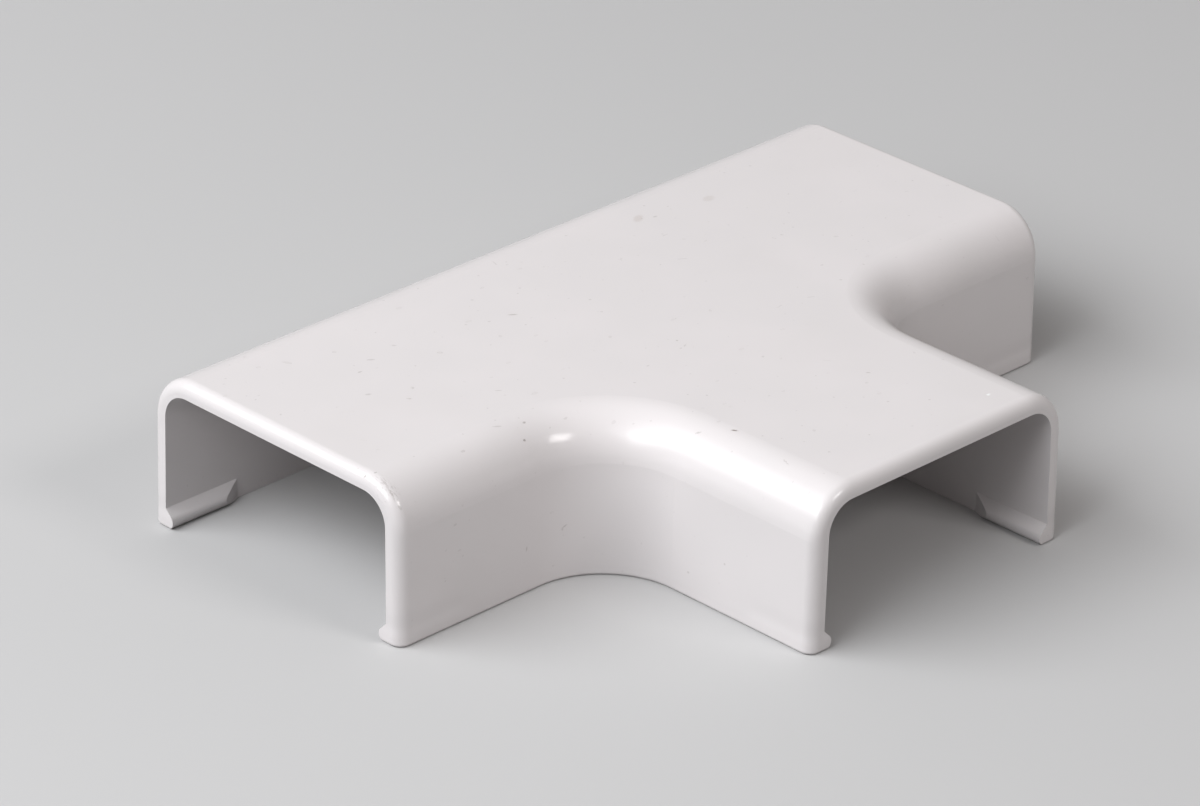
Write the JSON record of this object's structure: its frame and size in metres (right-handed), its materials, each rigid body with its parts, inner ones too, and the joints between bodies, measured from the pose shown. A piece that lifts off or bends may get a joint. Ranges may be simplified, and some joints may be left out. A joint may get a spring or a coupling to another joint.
{
  "type": "trunking tee cover",
  "caption": "One-piece clip-over tee cover for mini-trunking: an open-ended channel roof with a side branch, rounded inside corners, and snap beads in its feet.",
  "frame": {"origin": "where the centre lines of the run and the branch cross, on the plane of the feet, which is the wall or floor face that the fitting stands against", "axes": "+X along the run, -Y out through the branch's open end, +Z away from the wall face, through the roof"},
  "size_m": [0.0916, 0.0638, 0.0172],
  "materials": {
    "moulding": "satin-gloss white moulded plastic"
  },
  "bodies": {
    "root": {"tee_cover": "moulding"}
  },
  "joints": []
}
